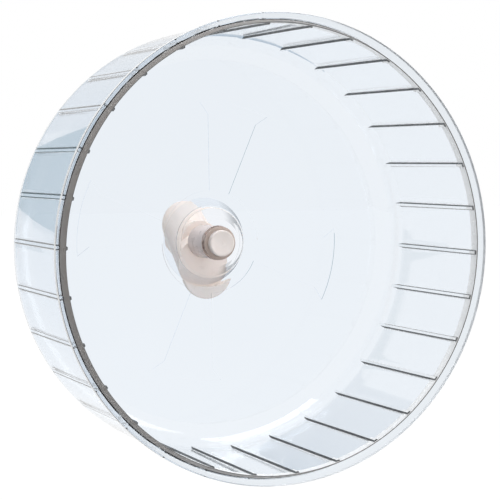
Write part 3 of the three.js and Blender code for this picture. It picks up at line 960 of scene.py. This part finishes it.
def cross_recess(middle, depth, reach, rise):
    """Two crossed wedges that cut the driver's recess into a screw head."""
    wedges = []
    for quarter in (0, 1):
        bm = new_mesh()
        bar = bmesh.ops.create_cube(bm, size=1)["verts"]
        size = (2 * reach * MM, 2 * depth * MM, RECESS_ARM_SHARE * reach * MM)
        bmesh.ops.scale(bm, verts=bar, vec=size)
        bmesh.ops.scale(bm, verts=[v for v in bar if v.co.y < 0], vec=RECESS_TAPER)
        turn = Matrix.Rotation(math.radians(RECESS_TURN + 90 * quarter), 3, "Y")
        bmesh.ops.rotate(bm, verts=bar, cent=(0, 0, 0), matrix=turn)
        bmesh.ops.translate(bm, verts=bar, vec=(0, RIM_PLANE + middle * MM, rise * MM))
        wedges.append(bm)
    return wedges


def thread_outline(radius, start, end, pitch):
    """Outline of a thread, as ridges along the shank."""
    root = radius - THREAD_DEPTH
    count = int((end - start) / pitch)
    points = []
    for i in range(count):
        base = start + i * pitch
        points += [
            (root, base),
            (radius, base + pitch * THREAD_RISE_SHARE),
            (radius, base + pitch * THREAD_CREST_SHARE),
        ]
    return points + [(root, start + count * pitch)]


def make_retaining_screw():
    """Pan-head screw in the end of the axle, with a cross recess."""
    front = SCREW_HEAD_FRONT
    top = front + SCREW_HEAD_HEIGHT
    tip = front - SCREW_LENGTH
    crown = arc((0, front + SCREW_HEAD_SIDE), SCREW_HEAD_RADIUS, 0, 90, 8,
                SCREW_HEAD_HEIGHT - SCREW_HEAD_SIDE)
    points = [
        (0, tip), (SCREW_RADIUS - 0.4, tip),
        *thread_outline(SCREW_RADIUS, tip + 0.6, front - 0.3, SCREW_PITCH),
        (SCREW_RADIUS, front), (SCREW_HEAD_RADIUS, front), *crown[:-1], (0, top),
    ]
    blank = turned(points, SCREW_STEPS, closed=False)
    screw = carved(blank, cut=cross_recess(top, 0.7, 1.2, 0))
    finish_piece(screw, "axle_screw", [ZINC], "wheel", ["retaining_screw"])


def make_cover_screw():
    """Countersunk screw that holds the cover, with a cross recess."""
    top = COVER_SCREW_TOP
    tip = top - COVER_SCREW_LENGTH
    neck = top - COVER_SCREW_HEAD_HEIGHT
    points = [
        (0, tip), (0.3, tip + 0.3),
        *thread_outline(COVER_SCREW_RADIUS, tip + 0.9, neck - 0.4, COVER_SCREW_PITCH),
        (COVER_SCREW_RADIUS, neck), (COVER_SCREW_HEAD_RADIUS, top - 0.1),
        (COVER_SCREW_HEAD_RADIUS, top), (0, top),
    ]
    blank = turned(points, SCREW_STEPS, closed=False)
    bmesh.ops.translate(blank, verts=blank.verts, vec=(0, 0, COVER_SCREW_RISE * MM))
    screw = carved(blank, cut=cross_recess(top, 0.55, 1.05, COVER_SCREW_RISE))
    finish_piece(
        screw, "cover_screw_head", [ZINC], "bracket", ["cover_screw"],
    )


# Bracket

def circle_edges(bm, radius, depth, rise):
    """One circle about a line along the axle, as a loop of edges."""
    ring = bmesh.ops.create_circle(
        bm, cap_ends=False, radius=radius * MM, segments=FINE_STEPS,
        matrix=along_axle(depth, rise),
    )["verts"]
    return list({edge for vertex in ring for edge in vertex.link_edges})


def bracket_body():
    """The leaning body: circles from the low round front to the high round back, bridged."""
    bm = new_mesh()
    length = BACK_DEPTH - BRACKET_FRONT
    stations = []
    for i in range(5):
        turn = math.radians(90 * i / 4)
        stations.append((
            BRACKET_FRONT + BRACKET_ROUND * (1 - math.cos(turn)),
            BRACKET_ROUND * (1 - math.sin(turn)),
        ))
    for i in range(4):
        turn = math.radians(90 - 90 * i / 3)
        stations.append((
            BACK_DEPTH - BRACKET_BACK_ROUND * (1 - math.cos(turn)),
            BRACKET_BACK_ROUND * (1 - math.sin(turn)),
        ))
    loops = []
    for depth, inset in stations:
        share = (depth - BRACKET_FRONT) / length
        spread = BRACKET_BACK_RADIUS - BRACKET_FRONT_RADIUS
        radius = BRACKET_FRONT_RADIUS + spread * share - inset
        rise = (BRACKET_BACK_RISE + BRACKET_FRONT_DROP) * share - BRACKET_FRONT_DROP
        loops.append(circle_edges(bm, radius, depth, rise))
    for first, second in zip(loops, loops[1:]):
        bmesh.ops.bridge_loops(bm, edges=first + second)
    bmesh.ops.holes_fill(bm, edges=[e for e in bm.edges if e.is_boundary], sides=0)
    bmesh.ops.recalc_face_normals(bm, faces=bm.faces)
    return bm


def drop_slab(upper, lower, start, end, steps=40):
    """A slab with two round ends joined by their tangents; each end is its height and radius."""
    bm = new_mesh()
    lean = math.asin((upper[1] - lower[1]) / (upper[0] - lower[0]))
    corners = []
    for (rise, radius), low, high in (
        (upper, -lean, math.pi + lean), (lower, math.pi + lean, 2 * math.pi - lean),
    ):
        for i in range(steps + 1):
            angle = low + (high - low) * i / steps
            across = radius * math.cos(angle)
            up = rise + radius * math.sin(angle)
            corners.append(bm.verts.new((across * MM, RIM_PLANE + start * MM, up * MM)))
    face = bm.faces.new(corners)
    pulled = bmesh.ops.extrude_face_region(bm, geom=[face, *face.edges], use_keep_orig=True)
    top = [part for part in pulled["geom"] if isinstance(part, bmesh.types.BMVert)]
    bmesh.ops.translate(bm, verts=top, vec=(0, (end - start) * MM, 0))
    bmesh.ops.recalc_face_normals(bm, faces=bm.faces)
    return bm


def cover_ends(gap):
    """The round ends of the cover, smaller by a gap: the lower one is round the bearings."""
    return (BRACKET_BACK_RISE, BRACKET_BACK_RADIUS - COVER_RIM - gap), (0, SEAT_RADIUS - gap)


def make_bracket():
    """The body and its boss, cut back where the bell's skirt runs, and bored for the bearings."""
    front = BRACKET_FRONT - OVERRUN
    floor = COVER_FRONT + OVERRUN
    pilot_end = COVER_SCREW_TOP - COVER_SCREW_LENGTH - PILOT_GAP
    bm = carved(
        bracket_body(),
        joined=[round_bar(SEAT_RADIUS + BOSS_WALL, BOSS_FRONT, BACK_DEPTH)],
        cut=[
            round_bar(BELL_RADIUS + RUNNING_GAP, front, SKIRT_CUT_END, steps=144),
            round_bar(HUB_SPACER_RADIUS + OPENING_GAP, front, BEARING_SEAT + OVERRUN),
            round_bar(SEAT_RADIUS, BEARING_SEAT, floor),
            drop_slab(*cover_ends(0), COVER_FRONT, BACK_DEPTH + OVERRUN),
            round_bar(COVER_SCREW_RADIUS + FIT_GAP, pilot_end, floor, COVER_SCREW_RISE, 32),
        ],
    )
    soften(bm, BRACKET_EDGE)
    finish_piece(bm, "bracket_shell", [BEIGE], "bracket", ["bracket_housing"])


def make_cover():
    """Flat back plate with a collar for the rear bearing, and a countersunk screw hole."""
    collar = turned(tube(
        BEARING_RADIUS - OUTER_SPACER_WALL, BEARING_RADIUS, REAR_BEARING_END + SEAT_GAP,
        COVER_FRONT + OVERRUN,
    ))
    sink = COVER_SCREW_HEAD_RADIUS + FIT_GAP
    shank = COVER_SCREW_RADIUS + FIT_GAP
    back = BACK_DEPTH + OVERRUN
    hole = turned([
        (0, COVER_FRONT - OVERRUN),
        (shank, COVER_FRONT - OVERRUN),
        (shank, COVER_SCREW_TOP - COVER_SCREW_HEAD_HEIGHT - FIT_GAP),
        (sink, COVER_SCREW_TOP),
        (sink, BACK_DEPTH - COVER_EDGE),
        (sink + COVER_EDGE + OVERRUN, back),
        (0, back),
    ], SCREW_STEPS, closed=False)
    bmesh.ops.translate(hole, verts=hole.verts, vec=(0, 0, COVER_SCREW_RISE * MM))
    plate = drop_slab(*cover_ends(FIT_GAP), COVER_FRONT + FIT_GAP, BACK_DEPTH)
    soften(plate, COVER_EDGE)
    bm = carved(plate, joined=[collar], cut=[hole])
    finish_piece(bm, "back_cover", [BEIGE], "bracket", ["bracket_cover"])


make_drum()
make_axle()
make_sleeves()
make_bearing("front", FRONT_BEARING)
make_bearing("rear", REAR_BEARING)
make_retaining_screw()
make_bracket()
make_cover()
make_cover_screw()


# Studio: lengths in metres from here on, but for the camera's place

FLOOR_LEVEL = -0.2
FLOOR_SIZE = 6
FLOOR_GLOW = 1.08
FLOOR_GLOW_SHARE = 0.85
WORLD_STRENGTH = 0.7
CARD_DISTANCE = 2.0
LAMP_TARGET = (0, -0.05, 0)
CAMERA_AZIMUTH = -24.24
CAMERA_ELEVATION = 3.21
CAMERA_PLACE = Vector((-202.2, RIM_PLANE / MM - 424.9, 26.6))
CAMERA_LENS = 115.2
CAMERA_SENSOR = 36


def seen_by_eye(tree, add):
    """A value of 1 for what the camera sees, also by way of gloss and clear plastic, or 0."""
    path = add("ShaderNodeLightPath")
    first = add("ShaderNodeMath", operation="MAXIMUM")
    second = add("ShaderNodeMath", operation="MAXIMUM")
    tree.links.new(path.outputs["Is Camera Ray"], first.inputs[0])
    tree.links.new(path.outputs["Is Glossy Ray"], first.inputs[1])
    tree.links.new(first.outputs[0], second.inputs[0])
    tree.links.new(path.outputs["Is Transmission Ray"], second.inputs[1])
    return second.outputs[0]


def mix_surface(tree, add, share, first, second, output):
    """Sends a mix of two shaders to the material's or the world's surface."""
    mix = add("ShaderNodeMixShader")
    tree.links.new(share, mix.inputs["Fac"])
    tree.links.new(first.outputs[0], mix.inputs[1])
    tree.links.new(second.outputs[0], mix.inputs[2])
    tree.links.new(mix.outputs[0], tree.nodes[output].inputs["Surface"])


def stage_object(bm, name):
    """Makes a piece of the studio, which isn't part of the wheel."""
    thing = link_new(bm, name)
    return thing


def make_floor():
    """A plain pale floor well under the wheel, white to the eye but for a trace of shadow."""
    bm = new_mesh()
    bmesh.ops.create_grid(bm, x_segments=1, y_segments=1, size=FLOOR_SIZE)
    bmesh.ops.translate(bm, verts=bm.verts, vec=(0, 0, FLOOR_LEVEL))
    floor = stage_object(bm, "floor")
    material, tree, shader, add = node_material("pale_floor")
    shader.inputs["Base Color"].default_value = (0.82, 0.82, 0.82, 1)
    shader.inputs["Roughness"].default_value = 0.8
    glow = add("ShaderNodeEmission", Color=(1, 1, 1, 1), Strength=FLOOR_GLOW)
    share = add("ShaderNodeMath", operation="MULTIPLY")
    share.inputs[1].default_value = FLOOR_GLOW_SHARE
    tree.links.new(seen_by_eye(tree, add), share.inputs[0])
    mix_surface(tree, add, share.outputs[0], shader, glow, "Material Output")
    floor.data.materials.append(material)


def make_card(name, colour, middle, size, turn=0.0, in_gloss=True):
    """A card far behind the wheel that shows only in its clear plastic.

    Its middle is across and up, its turn is in degrees, and it may be kept out of gloss.
    """
    bm = new_mesh()
    bmesh.ops.create_grid(bm, x_segments=1, y_segments=1, size=0.5)
    bmesh.ops.scale(bm, verts=bm.verts, vec=(*size, 1))
    for angle, axis in ((math.radians(turn), "Z"), (math.pi / 2, "X")):
        bmesh.ops.rotate(
            bm, verts=bm.verts, cent=(0, 0, 0), matrix=Matrix.Rotation(angle, 3, axis),
        )
    bmesh.ops.translate(bm, verts=bm.verts, vec=(middle[0], CARD_DISTANCE, middle[1]))
    card = stage_object(bm, name)
    card.visible_camera = False
    card.visible_diffuse = False
    card.visible_shadow = False
    card.visible_glossy = in_gloss
    material, tree, _, add = node_material(name)
    glow = add("ShaderNodeEmission", Color=(*colour, 1), Strength=1.0)
    tree.links.new(glow.outputs[0], tree.nodes["Material Output"].inputs["Surface"])
    card.data.materials.append(material)


def make_world():
    """Even white light; what the eye meets directly is full white."""
    world = bpy.data.worlds.new("studio")
    bpy.context.scene.world = world
    world.use_nodes = True
    tree = world.node_tree
    plain = tree.nodes["Background"]
    plain.inputs["Color"].default_value = (1, 1, 1, 1)
    plain.inputs["Strength"].default_value = WORLD_STRENGTH

    def add(kind, **settings):
        node = tree.nodes.new(kind)
        for key, value in settings.items():
            setattr(node, key, value)
        return node

    white = add("ShaderNodeBackground")
    white.inputs["Color"].default_value = (1, 1, 1, 1)
    mix_surface(tree, add, seen_by_eye(tree, add), plain, white, "World Output")


def place_facing(name, data, place, direction):
    """Adds a lamp or camera that looks along a direction."""
    thing = bpy.data.objects.new(name, data)
    thing.location = place
    thing.rotation_mode = "QUATERNION"
    thing.rotation_quaternion = direction.to_track_quat("-Z", "Y")
    bpy.context.scene.collection.objects.link(thing)
    return thing


def add_lamp(name, place, size, power):
    """A softbox that looks at the wheel."""
    light = bpy.data.lights.new(name, "AREA")
    light.shape = "RECTANGLE"
    light.size, light.size_y = size
    light.energy = power
    place_facing(name, light, place, Vector(LAMP_TARGET) - Vector(place))


def make_camera():
    """The photograph's own view: 24 degrees from the left and 3 degrees from above."""
    azimuth, elevation = math.radians(CAMERA_AZIMUTH), math.radians(CAMERA_ELEVATION)
    back = Vector((
        math.sin(azimuth) * math.cos(elevation),
        -math.cos(azimuth) * math.cos(elevation),
        math.sin(elevation),
    ))
    lens = bpy.data.cameras.new("camera")
    lens.sensor_width = CAMERA_SENSOR
    lens.lens = CAMERA_LENS
    bpy.context.scene.camera = place_facing("camera", lens, CAMERA_PLACE * MM, -back)


make_floor()
make_world()
make_card("sky_card", (0.45, 0.53, 0.61), (0.5, 1.0), (1.6, 1.0), in_gloss=False)
make_card("blue_card", (0.30, 0.42, 0.48), (-0.722, 0.387), (1.27, 0.45), turn=58.6)
add_lamp("key_softbox", (0.1, -0.35, 1.0), (0.8, 0.5), 6)
add_lamp("fill_softbox", (0.9, -0.7, 0.3), (0.6, 0.9), 3)
make_camera()
bpy.context.scene.view_settings.view_transform = "Standard"
